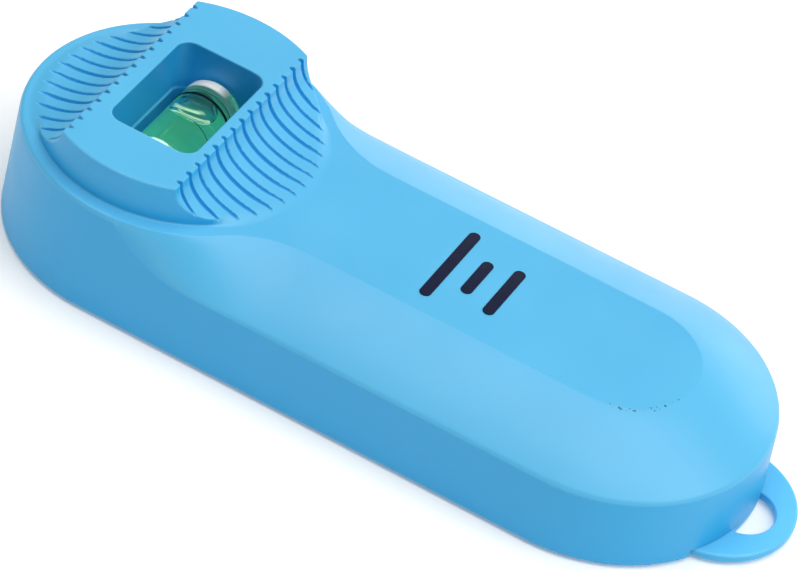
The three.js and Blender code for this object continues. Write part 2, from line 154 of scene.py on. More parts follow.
# ---- Colours, linear ----
# Deep and light blues of the two mouldings, and a darker blue for their walls, which is painted shade
SHELL_BLUES = ((0.096, 0.495, 0.825), (0.106, 0.525, 0.855), (0.022, 0.42, 0.82))
COVER_BLUES = ((0.115, 0.56, 0.90), (0.125, 0.585, 0.93), (0.05, 0.47, 0.86))
SPECK = (0.01, 0.02, 0.05)

# About as many triangles as a moulding may have
SHELL_TRIANGLES = 190_000
COVER_TRIANGLES = 60_000

# Edge radii of the moulding
LOOP_ROUND = 0.38
RIM_ROUND = 0.55
SHOULDER_ROUND = 0.35
TOP_ROUND = 0.28
SCOOP_ROUND = 0.2
BASE_FILLET = 0.2
WINDOW_ROUND = 0.22

HEAD_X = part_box("top_shell")[0].x / MM + BODY_R


# ---- Small helpers ----
def collection_add(obj):
    bpy.context.scene.collection.objects.link(obj)
    return obj


def place(name, points, faces, material=None, smooth=True):
    """A mesh object from points in millimetres in the head's frame."""
    mesh = bpy.data.meshes.new(name)
    points = (np.asarray(points, float) + (HEAD_X, 0, 0)) * MM
    faces = np.asarray(faces)
    if faces.ndim == 2:
        count, sides = faces.shape
        mesh.vertices.add(len(points))
        mesh.vertices.foreach_set("co", points.astype(np.float32).ravel())
        mesh.loops.add(count * sides)
        mesh.loops.foreach_set("vertex_index", faces.astype(np.int32).ravel())
        mesh.polygons.add(count)
        mesh.polygons.foreach_set("loop_start", np.arange(0, count * sides, sides, dtype=np.int32))
        mesh.update(calc_edges=True)
    else:
        mesh.from_pydata([tuple(p) for p in points], [], [list(f) for f in faces])
    mesh.validate()
    if smooth:
        mesh.polygons.foreach_set("use_smooth", [True] * len(mesh.polygons))
    obj = collection_add(bpy.data.objects.new(name, mesh))
    if material:
        mesh.materials.append(material)
    return obj


# ---- Rounded joins of distance fields ----
def round_max(a, b, r):
    """Where two solids overlap, with an outside edge of radius r."""
    return np.minimum(np.maximum(a, b), -r) + np.hypot(np.maximum(a + r, 0), np.maximum(b + r, 0))


def round_min(a, b, r):
    """Two solids joined, with an inside fillet of radius r."""
    return -round_max(-a, -b, r)


# ---- Form of the shell ----
def wall_radius(z):
    return BODY_R - DRAFT * (z - LIFT)


def crest_half(x):
    """Half width of the flat top: the head's circle, a concave flare, then a straight strip."""
    flare_x = math.sqrt((CREST_R + FLARE_R) ** 2 - (CREST_W + FLARE_R) ** 2)
    meet = flare_x * CREST_R / (CREST_R + FLARE_R)
    circle = np.sqrt(np.maximum(CREST_R**2 - np.minimum(x, meet) ** 2, 0))
    flare = CREST_W + FLARE_R - np.sqrt(FLARE_R**2 - (np.clip(x, meet, flare_x) - flare_x) ** 2)
    return np.where(x <= meet, circle, flare)


def wall_top(x):
    way = np.clip((x - WEDGE_START) / (WEDGE_END - WEDGE_START), 0, 1)
    return SHOULDER_Z + (RIM_Z - SHOULDER_Z) * (1 - way) ** WEDGE_POWER


def body_top(x, y):
    """Height of the top over the plan point x, y: flat, then over the shoulder to the wall."""
    along = np.clip(x, 0, SPAN)
    reach = np.hypot(x - along, y)
    top = wall_top(along)
    crest = crest_half(along)
    t = np.maximum((reach - crest) / (wall_radius(top) - crest), 0)
    flat = RIM_Z + CROWN * np.clip(1 - (np.hypot(x, y) - BOSS_R) / CROWN_REACH, 0, 1) ** 2
    return flat - (flat - top) * (0.42 * t + 0.58 * t * t)


def body_field(x, y, z):
    along = np.clip(x, 0, SPAN)
    wall = np.hypot(x - along, y) - wall_radius(z)
    top = (z - body_top(x, y)) * 0.94
    share = np.clip(x / WEDGE_END, 0, 1)
    return round_max(wall, top, RIM_ROUND + (SHOULDER_ROUND - RIM_ROUND) * share)


def groove_depth(x, y):
    """Depth of the finger grooves, which run along X and run out at the boss's edge."""
    row = np.round((y - GROOVE_SHIFT) / GROOVE_PITCH)
    row = np.clip(row, -(GROOVES // 2), GROOVES // 2)
    fade = np.clip((BOSS_R - np.hypot(x, y)) / GROOVE_FADE, 0, 1)
    half = GROOVE_HALF * (0.4 + 0.6 * fade)
    across = np.clip(1 - ((y - GROOVE_SHIFT - row * GROOVE_PITCH) / half) ** 2, 0, 1) ** 0.6
    return GROOVE_DEPTH * across * fade * (2 - fade)


def scoop_distance(x, y, z):
    """Distance to the curved bottom of the finger scoops, less than nothing in the air above it."""
    long, high = SCOOP_HALVES
    along = np.maximum(SCOOP_END - np.abs(x), 0) / long
    down = np.maximum(SCOOP_MID - SCOOP_SAG * (y / BOSS_R) ** 2 - z, 0) / high
    reach = np.maximum((along**SCOOP_POWER + down**SCOOP_POWER) ** (1 / SCOOP_POWER), 0.01)
    rate = np.hypot(along ** (SCOOP_POWER - 1) / long, down ** (SCOOP_POWER - 1) / high)
    return (reach - 1) / np.maximum(rate * reach ** (1 - SCOOP_POWER), 0.01)


def boss_field(x, y, z):
    """The boss less its two scoops; its wall leans back as a short ramp where the scoops run out."""
    reach = np.hypot(x, y)
    way = np.clip((np.abs(x) / np.maximum(reach, 1) - RAMP_START) / RAMP_REACH, 0, 1)
    ramp = way * way * (3 - 2 * way)
    above = np.clip(z - RIM_Z - CROWN, -0.1, 1.0)
    lean = (BOSS_R - BOSS_TOP_R) * (z - RIM_Z) / (TOP_Z - RIM_Z) + ramp * (RAMP_SLOPE * above - RAMP_OUT)
    disc = round_max((reach - BOSS_R + lean) / (1 + ramp), z - TOP_Z, TOP_ROUND)
    scoop = groove_depth(x, y) - scoop_distance(x, y, z)
    return round_max(disc, scoop, SCOOP_ROUND)


def box_distance(x, y, width, length, corner):
    """Distance outside a rounded rectangle about the origin, less than nothing inside it."""
    qx, qy = np.abs(x) - width / 2 + corner, np.abs(y) - length / 2 + corner
    return np.hypot(np.maximum(qx, 0), np.maximum(qy, 0)) + np.minimum(np.maximum(qx, qy), 0) - corner


def shell_field(x, y, z):
    field = round_min(body_field(x, y, z), boss_field(x, y, z), BASE_FILLET)
    window = box_distance(x - WINDOW_X, y - WINDOW_Y, WINDOW_W, WINDOW_L, WINDOW_CORNER)
    pocket = round_max(window, LEDGE_Z - z, 0.25)
    field = round_max(field, -pocket, WINDOW_ROUND)
    middle, half = (VIAL_NEAR + VIAL_FAR) / 2, (VIAL_FAR - VIAL_NEAR) / 2 + 0.15
    slot = round_max(np.hypot(x - VIAL_X, z - VIAL_Z) - VIAL_R - 0.12, np.abs(y - middle) - half, 0.1)
    field = round_max(field, -slot, 0.1)
    step_y = (STEP_NEAR + STEP_FAR) / 2
    step = box_distance(x - VIAL_X, y - step_y, 2 * STEP_HALF, STEP_FAR - STEP_NEAR, STEP_CORNER)
    field = round_max(field, -np.maximum(step, STEP_Z - z), 0.2)
    return round_max(field, LIFT - z, 0.15)


def posts_field(x, y):
    reach = [np.hypot(x - a, y - b) - COVER_POST_R for a, b in COVER_SCREWS]
    reach += [np.hypot(x - VIAL_X, y - b) - RETAINER_POST_R for b in RETAINER_SCREWS]
    return np.minimum.reduce(reach)


def cavity_field(x, y, z):
    """The hollow inside the shell, round the block that holds the vial and the screw posts."""
    along = np.clip(x, 0, SPAN)
    wall = np.hypot(x - along, y) - wall_radius(z) + WALL
    room = round_max(wall, z - body_top(x, y) + WALL + 0.2, 1.0)
    seat = np.maximum(np.abs(x - WINDOW_X) - SEAT_HALF_X, np.abs(y - SEAT_Y) - SEAT_HALF_Y)
    seat = round_max(seat, SEAT_Z - z, 0.4)
    posts = np.maximum(posts_field(x, y), COVER_Z + 0.3 - z)
    return round_max(round_max(room, -seat, 0.4), -posts, 0.4)


# ---- Meshing a field on a graded grid ----
def graded(*stretches):
    """Grid lines from (start, end, step) stretches that follow each other."""
    lines = []
    for start, end, step in stretches:
        count = max(1, round((end - start) / step))
        lines.extend(np.linspace(start, end, count, endpoint=False))
    lines.append(stretches[-1][1])
    return np.array(lines)


def mesh_field(field, xs, ys, zs, settle=4):
    """Points and quads of the surface where the field is zero, each point settled on the surface."""
    grid = np.meshgrid(xs, ys, zs, indexing="ij", sparse=True)
    values = field(*grid).astype(np.float32)
    inside = values < 0
    shape = tuple(n - 1 for n in values.shape)
    total = np.zeros(shape + (3,), np.float32)
    hits = np.zeros(shape, np.int8)
    crossings = []
    for axis, lines in enumerate((xs, ys, zs)):
        low = [slice(None)] * 3
        high = [slice(None)] * 3
        low[axis], high[axis] = slice(0, -1), slice(1, None)
        low, high = tuple(low), tuple(high)
        cross = inside[low] != inside[high]
        where = np.argwhere(cross)
        a, b = values[low][cross], values[high][cross]
        share = a / (a - b)
        at = np.stack([xs[np.minimum(where[:, 0], len(xs) - 1)], ys[np.minimum(where[:, 1], len(ys) - 1)],
                       zs[np.minimum(where[:, 2], len(zs) - 1)]], 1)
        at[:, axis] = lines[where[:, axis]] + share * np.diff(lines)[where[:, axis]]
        first, second = [d for d in range(3) if d != axis]
        for da in (0, -1):
            for db in (0, -1):
                cell = where.copy()
                cell[:, first] += da
                cell[:, second] += db
                good = np.all((cell >= 0) & (cell < shape), axis=1)
                index = tuple(cell[good].T)
                np.add.at(total, index, at[good])
                np.add.at(hits, index, 1)
        crossings.append((axis, first, second, where, inside[low][cross]))
    number = np.full(shape, -1, np.int64)
    used = hits > 0
    number[used] = np.arange(used.sum())
    points = total[used].astype(float) / hits[used][:, None]
    quads = []
    for axis, first, second, where, starts_inside in crossings:
        good = ((where[:, first] > 0) & (where[:, second] > 0)
                & (where[:, first] < shape[first]) & (where[:, second] < shape[second]))
        where, starts_inside = where[good], starts_inside[good]
        ring = []
        for da, db in ((-1, -1), (0, -1), (0, 0), (-1, 0)):
            cell = where.copy()
            cell[:, first] += da
            cell[:, second] += db
            ring.append(number[tuple(cell.T)])
        ring = np.stack(ring, 1)
        turn = starts_inside if axis != 1 else ~starts_inside
        ring[~turn] = ring[~turn][:, ::-1]
        quads.append(ring)
    quads = np.concatenate(quads)
    for _ in range(settle):
        points = settle_points(field, points)
    return points, quads


def gradient(field, points, reach=0.02):
    parts = []
    for axis in range(3):
        step = np.zeros(3)
        step[axis] = reach
        ahead = field(*(points + step).T)
        behind = field(*(points - step).T)
        parts.append((ahead - behind) / (2 * reach))
    return np.stack(parts, 1)


def settle_points(field, points, most=0.15):
    """One step of each point towards the surface."""
    slope = gradient(field, points)
    square = np.maximum((slope**2).sum(1), 1e-6)
    step = (field(*points.T) / square)[:, None] * slope
    length = np.linalg.norm(step, axis=1, keepdims=True)
    return points - step * np.minimum(1, most / np.maximum(length, 1e-9))


def cut(obj, tool):
    """obj less tool, with the tool removed."""
    modifier = obj.modifiers.new("cut", "BOOLEAN")
    modifier.operation = "DIFFERENCE"
    modifier.solver = "MANIFOLD"
    modifier.object = tool
    bake_modifiers(obj)
    bpy.data.objects.remove(tool)
    return obj


def bake_modifiers(obj):
    depsgraph = bpy.context.evaluated_depsgraph_get()
    depsgraph.update()
    mesh = bpy.data.meshes.new_from_object(obj.evaluated_get(depsgraph))
    obj.modifiers.clear()
    old = obj.data
    obj.data = mesh
    bpy.data.meshes.remove(old)
    return obj


def thin(obj, most):
    """obj brought down to about that many triangles, fewest where it is flattest."""
    count = sum(len(p.vertices) - 2 for p in obj.data.polygons)
    if count > most:
        modifier = obj.modifiers.new("thin", "DECIMATE")
        modifier.ratio = most / count
        bake_modifiers(obj)
    return obj


def set_normals(obj, field):
    """Shades the points that lie on the field's surface by the field's own slope."""
    mesh = obj.data
    mesh.polygons.foreach_set("use_smooth", [True] * len(mesh.polygons))
    flat = np.empty(len(mesh.vertices) * 3, np.float32)
    mesh.vertices.foreach_get("co", flat)
    points = flat.reshape(-1, 3).astype(float) / MM - (HEAD_X, 0, 0)
    mesh.vertex_normals.foreach_get("vector", flat)
    normals = flat.reshape(-1, 3).astype(float)
    on_surface = np.abs(field(*points.T)) < 0.01
    slope = gradient(field, points[on_surface])
    length = np.maximum(np.linalg.norm(slope, axis=1, keepdims=True), 1e-6)
    slope /= length
    agree = (slope * normals[on_surface]).sum(1) > 0.5
    chosen = np.flatnonzero(on_surface)[agree]
    normals[chosen] = slope[agree]
    mesh.normals_split_custom_set_from_vertices(normals.tolist())
    return obj


# ---- Outlines, slabs and turned pieces ----
def arc(x, y, r, start, end, steps):
    angles = np.radians(np.linspace(start, end, steps + 1))
    return [(x + r * math.cos(a), y + r * math.sin(a)) for a in angles]


def stadium(x0, x1, r, steps=48):
    """An outline with round ends about (x0, 0) and (x1, 0)."""
    return arc(x1, 0, r, -90, 90, steps) + arc(x0, 0, r, 90, 270, steps)


def bar_outline(x, y, width, length, steps=16):
    """A bar along Y with round ends."""
    r, half = width / 2, (length - width) / 2
    return arc(x, y + half, r, 0, 180, steps) + arc(x, y - half, r, 180, 360, steps)


def rounded_rectangle(x, y, width, length, corner, steps=10):
    right, top = x + width / 2 - corner, y + length / 2 - corner
    left, bottom = x - width / 2 + corner, y - length / 2 + corner
    return (arc(right, top, corner, 0, 90, steps) + arc(left, top, corner, 90, 180, steps)
            + arc(left, bottom, corner, 180, 270, steps) + arc(right, bottom, corner, 270, 360, steps))


def raise_outline(name, outline, z0, z1, material=None, bevel=0.0, segments=3):
    """A slab of the outline from z0 to z1, with its sharp edges bevelled if a bevel is given."""
    bm = bmesh.new()
    face = bm.faces.new([bm.verts.new(((x + HEAD_X) * MM, y * MM, z0 * MM)) for x, y in outline])
    bmesh.ops.recalc_face_normals(bm, faces=[face])
    raised = bmesh.ops.extrude_face_region(bm, geom=[face])
    lifted = [item for item in raised["geom"] if isinstance(item, bmesh.types.BMVert)]
    bmesh.ops.translate(bm, verts=lifted, vec=(0, 0, (z1 - z0) * MM))
    bmesh.ops.remove_doubles(bm, verts=bm.verts, dist=1e-7)
    bmesh.ops.recalc_face_normals(bm, faces=bm.faces)
    if bevel:
        rims = [edge for edge in bm.edges if abs(edge.calc_face_angle(0)) > 1.2]
        bmesh.ops.bevel(bm, geom=rims, offset=bevel * MM, segments=segments, profile=0.5, affect="EDGES")
    mesh = bpy.data.meshes.new(name)
    bm.to_mesh(mesh)
    bm.free()
    obj = collection_add(bpy.data.objects.new(name, mesh))
    if material:
        mesh.materials.append(material)
    smooth_by_angle(obj)
    return obj


def smooth_by_angle(obj, degrees=35):
    obj.data.polygons.foreach_set("use_smooth", [True] * len(obj.data.polygons))
    bm = bmesh.new()
    bm.from_mesh(obj.data)
    for edge in bm.edges:
        edge.smooth = edge.calc_face_angle(0) < math.radians(degrees)
    bm.to_mesh(obj.data)
    bm.free()
    return obj


def soften(profile, radius, steps=4):
    """The profile with its inner corners rounded; its two ends stay."""
    points = [Vector(p) for p in profile]
    out = [points[0]]
    for before, corner, after in zip(points, points[1:], points[2:]):
        reach = min(radius, (corner - before).length * 0.45, (after - corner).length * 0.45)
        start = corner + (before - corner).normalized() * reach
        end = corner + (after - corner).normalized() * reach
        for i in range(steps + 1):
            t = i / steps
            out.append(start * (1 - t) ** 2 + corner * 2 * t * (1 - t) + end * t**2)
    return out + [points[-1]]


def turn(name, profile, centre, along, material, steps=96):
    """A body turned from (reach, height) points that start and end on the axis or close on themselves."""
    closed = profile[0][0] > 1e-6
    rings = []
    points = []
    for reach, height in profile:
        if reach < 1e-6:
            rings.append([len(points)] * steps)
            points.append((0, 0, height))
        else:
            rings.append(list(range(len(points), len(points) + steps)))
            for i in range(steps):
                angle = 2 * math.pi * i / steps
                points.append((reach * math.cos(angle), reach * math.sin(angle), height))
    faces = []
    count = len(rings)
    for k in range(count if closed else count - 1):
        low, high = rings[k], rings[(k + 1) % count]
        for i in range(steps):
            j = (i + 1) % steps
            corners = [low[i], low[j], high[j], high[i]]
            face = [c for n, c in enumerate(corners) if c not in corners[:n]]
            if len(face) > 2:
                faces.append(face)
    points = np.array(points)
    if along == "Y":
        points = np.stack([points[:, 0], points[:, 2], -points[:, 1]], 1)
    obj = place(name, points + centre, np.array(faces, dtype=object), material)
    bm = bmesh.new()
    bm.from_mesh(obj.data)
    bmesh.ops.recalc_face_normals(bm, faces=bm.faces)
    bm.to_mesh(obj.data)
    bm.free()
    return smooth_by_angle(obj)


# ---- Material nodes ----
class Paint:
    """A Principled material with object coordinates to hang its patterns on."""

    def __init__(self, name, **sockets):
        self.material = bpy.data.materials.new(name)
        self.material.use_nodes = True
        self.nodes = self.material.node_tree.nodes
        self.shader = self.nodes["Principled BSDF"]
        self.place = self.nodes.new("ShaderNodeTexCoord").outputs["Object"]
        for socket, value in sockets.items():
            self.shader.inputs[socket.replace("_", " ")].default_value = value

    def link(self, output, target):
        self.material.node_tree.links.new(output, target)

    def node(self, kind, inputs=(), **settings):
        made = self.nodes.new(kind)
        for name, value in settings.items():
            setattr(made, name, value)
        for key, value in dict(inputs).items():
            if isinstance(value, bpy.types.NodeSocket):
                self.link(value, made.inputs[key])
            else:
                made.inputs[key].default_value = value
        return made

    def coordinates(self):
        return self.node("ShaderNodeSeparateXYZ", {"Vector": self.place}).outputs

    def noise(self, scale, detail=3.0, roughness=0.5):
        inputs = {"Vector": self.place, "Scale": scale, "Detail": detail, "Roughness": roughness}
        return self.node("ShaderNodeTexNoise", inputs).outputs["Fac"]

    def ramp(self, value, *stops):
        """Colours or greys by position along value."""
        ramp = self.node("ShaderNodeValToRGB", {"Fac": value})
        elements = ramp.color_ramp.elements
        while len(elements) < len(stops):
            elements.new(0.5)
        for element, (position, colour) in zip(elements, stops):
            element.position = position
            element.color = (*colour, 1) if isinstance(colour, tuple) else (colour, colour, colour, 1)
        return ramp.outputs["Color"]

    def math(self, operation, a, b=0.0):
        return self.node("ShaderNodeMath", {0: a, 1: b}, operation=operation).outputs[0]

    def between(self, value, low_mm, high_mm):
        """0 to 1 as a length in metres goes from low to high."""
        inputs = {"Value": value, "From Min": low_mm * MM, "From Max": high_mm * MM}
        return self.node("ShaderNodeMapRange", inputs).outputs["Result"]

    def times(self, first, *others):
        for other in others:
            first = self.math("MULTIPLY", first, other)
        return first

    def mix(self, factor, a, b):
        """Colour a where the factor is 0, and b where it is 1."""
        made = self.node("ShaderNodeMix", {"Factor": factor}, data_type="RGBA")
        for key, value in ((6, a), (7, b)):  # the two colour inputs
            if isinstance(value, bpy.types.NodeSocket):
                self.link(value, made.inputs[key])
            else:
                made.inputs[key].default_value = (*value, 1)
        return made.outputs[2]

    def bump(self, height, strength, distance_mm):
        inputs = {"Height": height, "Strength": strength, "Distance": distance_mm * MM}
        made = self.node("ShaderNodeBump", inputs)
        self.link(made.outputs["Normal"], self.shader.inputs["Normal"])

    def set(self, socket, output):
        self.link(output, self.shader.inputs[socket])


def blue_plastic(name, deep, light, wall):
    """Satin blue moulded plastic: a fine spark-eroded grain, faint flow clouding, a deeper blue painted on
    the drafted walls as painted shade, and specks at the tail's crease."""
    paint = Paint(name, Specular_IOR_Level=0.5, IOR=1.5)
    body = paint.ramp(paint.noise(45, 2), (0.35, deep), (0.65, light))
    facing = paint.node("ShaderNodeNewGeometry").outputs["Normal"]
    up = paint.node("ShaderNodeSeparateXYZ", {"Vector": facing}).outputs["Z"]
    # painted shade: surfaces that face little upward take the darker wall blue under any lamp
    body = paint.mix(paint.ramp(up, (0.1, 1.0), (0.4, 0.0)), body, wall)
    paint.set("Base Color", paint.mix(paint.times(crease_specks(paint), 0.85), body, SPECK))
    paint.set("Roughness", paint.ramp(paint.noise(160, 4), (0.3, 0.34), (0.7, 0.42)))
    paint.bump(paint.noise(5200, 2), 0.25, 0.012)
    return paint.material


def crease_specks(paint):
    """1 in small dark specks that lie along the tail end of the flat top's edge."""
    x, y, z = paint.coordinates()
    x = paint.math("SUBTRACT", x, (SPAN + HEAD_X) * MM)
    square = paint.math("ADD", paint.times(x, x), paint.times(y, y))
    off = paint.math("SUBTRACT", paint.math("SQRT", square), (CREST_W + 0.1) * MM)
    band = paint.math("LESS_THAN", paint.math("ABSOLUTE", off), 0.3 * MM)
    near = paint.math("LESS_THAN", y, 0.5 * MM)
    tail = paint.math("GREATER_THAN", x, 2.4 * MM)
    high = paint.math("GREATER_THAN", z, (RIM_Z - 0.5) * MM)
    dots = paint.math("GREATER_THAN", paint.noise(2600, 1), 0.64)
    gaps = paint.math("GREATER_THAN", paint.noise(420, 1), 0.5)
    return paint.times(band, near, tail, high, dots, gaps)


def clear_acrylic():
    """Clear acrylic, with a pale cream, rougher and nearly opaque patch on one side of its moulded far
    end.
    """
    paint = Paint("clear_acrylic", IOR=1.49)
    x, y, _ = paint.coordinates()
    inner = VIAL_FAR - VIAL_CLOSED
    # a pale cream, rougher, nearly opaque patch over the far end on the -X side only
    end = paint.between(y, inner, inner + 0.4)
    side = paint.between(x, HEAD_X + VIAL_X + 2.2, HEAD_X + VIAL_X + 0.6)
    pale_rough_patch = paint.times(end, side)
    paint.set("Transmission Weight", paint.ramp(pale_rough_patch, (0.0, 1.0), (1.0, 0.1)))
    paint.set("Base Color", paint.mix(pale_rough_patch, (0.97, 1.0, 0.99), (0.95, 0.94, 0.88)))
    paint.set("Roughness", paint.ramp(pale_rough_patch, (0.0, 0.01), (1.0, 0.3)))
    paint.bump(paint.noise(260, 2), 0.1, 0.02)
    return paint.material


def green_liquid():
    """Green spirit: clear above and cloudy below, where it gives off faint green light of its own as
    painted light; its green turns from yellow-green to teal across the vial as painted shade. A painted
    highlight, a pale line, lies along its edge at the plug."""
    paint = Paint("green_liquid", IOR=LIQUID_IOR, Roughness=0.0, Emission_Strength=1.0)
    x, y, z = paint.coordinates()
    rise = paint.between(z, VIAL_Z - 1.0, VIAL_Z + 1.2)
    across = paint.between(x, HEAD_X + VIAL_X - 3.0, HEAD_X + VIAL_X + 3.0)
    # painted shade: the green is lighter and yellower on the -X side and a darker teal on the +X side
    dye_and_painted_shade = paint.ramp(across, (0.1, (0.24, 0.86, 0.50)), (0.9, (0.03, 0.80, 0.58)))
    haze = paint.ramp(paint.noise(420, 4), (0.4, 0.0), (0.65, 0.5))
    cloud = paint.mix(haze, dye_and_painted_shade, (0.30, 1.0, 0.62))
    plug = VIAL_NEAR + VIAL_PLUG
    # painted highlight: a pale, less clear line that gives off light, on the liquid's upper side near the
    # plug end
    end = paint.between(y, plug - 0.1, plug + 0.9)
    end = paint.ramp(end, (0.3, 0.0), (0.42, 1.0), (0.6, 1.0), (0.72, 0.0))
    side = paint.ramp(across, (0.2, 0.0), (0.35, 1.0), (0.6, 1.0), (0.72, 0.0))
    painted_glint = paint.times(end, side, paint.math("GREATER_THAN", z, (VIAL_Z + 1.5) * MM))
    paint.set("Transmission Weight", paint.math("SUBTRACT", rise, paint.times(painted_glint, 0.8)))
    paint.set("Base Color", paint.mix(rise, cloud, (0.55, 0.97, 0.80)))
    # painted light: the cloudy lower part gives off faint green light of its own
    painted_glow = paint.mix(rise, (0.032, 0.170, 0.143), (0.0, 0.0, 0.0))
    paint.set("Emission Color", paint.mix(painted_glint, painted_glow, (0.60, 0.95, 0.65)))
    return paint.material


def bubble_air():
    """Air seen from inside the liquid, so its index is the inverse of the liquid's. Its meniscus has a
    painted highlight as a bright rim and, inside the near end, a second pale line of painted highlight,
    both on the near half only; its blue-grey tint is painted reflection of the blue walls."""
    paint = Paint("bubble_air", IOR=1 / LIQUID_IOR, Emission_Strength=0.55)
    x, y, _ = paint.coordinates()
    across = paint.times(paint.math("SUBTRACT", x, (BUBBLE_X + HEAD_X) * MM), BUBBLE_ROUND)
    along = paint.math("SUBTRACT", y, BUBBLE_Y * MM)
    square = paint.math("ADD", paint.times(across, across), paint.times(along, along))
    reach = paint.math("DIVIDE", paint.math("SQRT", square), BUBBLE_HALF * MM)
    # painted highlight: a bright rim and a pale inner line on the near half of the meniscus, both giving
    # off light
    rim = paint.ramp(reach, (0.91, 0.0), (0.935, 1.0), (0.96, 1.0), (0.985, 0.0))
    painted_streak = paint.ramp(reach, (0.58, 0.0), (0.7, 1.0), (0.77, 1.0), (0.82, 0.0))
    painted_streak = paint.times(painted_streak, paint.between(across, 2.2, 1.2), paint.between(across, -1.8, -1.1))
    near = paint.math("LESS_THAN", along, -0.8 * MM)
    broken = paint.ramp(paint.noise(500, 2), (0.3, 0.7), (0.5, 1.0))
    painted_glint = paint.times(paint.math("MAXIMUM", rim, painted_streak), near, broken)
    paint.set("Transmission Weight", paint.math("SUBTRACT", 1.0, painted_glint))
    # painted reflection: the clear air takes a blue-grey tint that stands for the blue walls seen in it
    paint.set("Base Color", paint.mix(painted_glint, (0.66, 0.68, 0.92), (0.95, 1.0, 0.82)))
    paint.set("Emission Color", paint.mix(painted_glint, (0.0, 0.0, 0.0), (0.8, 1.0, 0.6)))
    paint.set("Roughness", paint.ramp(paint.noise(500, 1), (0.4, 0.0), (0.6, 0.02)))
    return paint.material


def worn_ink():
    """Thin dark green ink, worn clear over one side of the vial."""
    paint = Paint("worn_ink", IOR=1.0, Roughness=0.1)
    x = paint.coordinates()["X"]
    side = paint.between(x, HEAD_X + VIAL_X + 1.0, HEAD_X + VIAL_X + 2.4)
    kept = paint.times(side, paint.ramp(paint.noise(900, 2), (0.3, 0.75), (0.6, 1.0)))
    tint = paint.ramp(kept, (0.0, 0.0), (0.2, 1.0))
    paint.set("Transmission Weight", paint.math("SUBTRACT", 1.0, kept))
    paint.set("Base Color", paint.mix(tint, (1.0, 1.0, 1.0), (0.0, 0.06, 0.05)))
    return paint.material


def mottled(name, dark, light, scale, rough, metal=0.0, bump=(0.2, 0.02), **sockets):
    """A material whose colour and roughness each vary between two values."""
    paint = Paint(name, Metallic=metal, **sockets)
    paint.set("Base Color", paint.ramp(paint.noise(scale, 4, 0.6), (0.3, dark), (0.7, light)))
    paint.set("Roughness", paint.ramp(paint.noise(scale * 2.3, 3), (0.3, rough[0]), (0.7, rough[1])))
    paint.bump(paint.noise(scale * 4, 2), *bump)
    return paint.material


def felt():
    """Dark needled felt, with fibres that stand up a little."""
    paint = Paint("felt", Sheen_Weight=0.5, Sheen_Roughness=0.6)
    fibre = paint.node("ShaderNodeTexNoise", {"Vector": paint.place, "Scale": 2200, "Detail": 6,
                                              "Roughness": 0.7, "Distortion": 3.0}).outputs["Fac"]
    paint.set("Base Color", paint.ramp(fibre, (0.3, (0.012, 0.014, 0.018)), (0.75, (0.06, 0.065, 0.075))))
    paint.set("Roughness", paint.ramp(fibre, (0.2, 0.85), (0.8, 1.0)))
    paint.bump(fibre, 0.8, 0.15)
    return paint.material


def brushed_steel():
    """Zinc-plated steel with fine drawn lines."""
    paint = Paint("zinc_steel", Metallic=1.0)
    stretch = paint.node("ShaderNodeMapping", {"Vector": paint.place, "Scale": (1, 14, 1)})
    inputs = {"Vector": stretch.outputs["Vector"], "Scale": 900, "Detail": 4}
    lines = paint.node("ShaderNodeTexNoise", inputs).outputs["Fac"]
    paint.set("Base Color", paint.ramp(lines, (0.3, (0.46, 0.47, 0.48)), (0.7, (0.66, 0.67, 0.68))))
    paint.set("Roughness", paint.ramp(paint.noise(700, 3), (0.3, 0.28), (0.7, 0.45)))
    paint.bump(lines, 0.15, 0.01)
    return paint.material


# ---- Pieces ----
def finish_piece(piece, body, slot, *nodes):
    """Hangs the piece on the empty of its body and hides the CAD nodes that it stands for. The slot is not
    used.
    """
    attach(piece, body)
    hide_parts(*nodes)
    return piece


def shell_piece(material):
    fine = 1.0
    xs = graded((-20.6, -18, 0.24 * fine), (-18, 18.2, 0.17 * fine), (18.2, 58, 0.4), (58, 81.9, 0.26))
    ys = graded((-20.6, -18, 0.24 * fine), (-18, 18, 0.125), (18, 20.6, 0.24 * fine))
    zs = graded((-0.2, 14.9, 0.5), (14.9, 21.5, 0.16 * fine))
    points, quads = mesh_field(shell_field, xs, ys, zs)
    shell = place("shell_moulding", points, quads, material)
    coarse = [graded((start, end, 0.7)) for start, end in ((-19, 81), (-19, 19), (-1.5, 15.5))]
    cut(shell, place("shell_hollow", *mesh_field(hollow_field, *coarse)))
    recess = stadium(0, SPAN, COVER_R + COVER_GAP)
    cut(shell, raise_outline("cover_recess", recess, -1, COVER_Z + 0.1))
    near_x, far_x = SPAN + 12, SPAN + 21
    notch = [(near_x, -LOOP_HALF), (far_x, -LOOP_HALF), (far_x, LOOP_HALF), (near_x, LOOP_HALF)]
    cut(shell, raise_outline("loop_notch", notch, -1, COVER_Z + 0.1))
    radius, top = COVER_PILOT
    for x, y in COVER_SCREWS:
        cut(shell, raise_outline("pilot", circle(x, y, radius), -1, top))
    radius, top = RETAINER_PILOT
    for y in RETAINER_SCREWS:
        cut(shell, raise_outline("pilot", circle(VIAL_X, y, radius), RETAINER_Z, top))
    thin(shell, SHELL_TRIANGLES)
    set_normals(shell, shell_field)
    return finish_piece(shell, HOUSING, "shell", "top_shell")


def circle(x, y, r, steps=24):
    return arc(x, y, r, 0, 360 - 360 / steps, steps - 1)


def hollow_field(x, y, z):
    return round_max(cavity_field(x, y, z), -1.0 - z, 0.1)


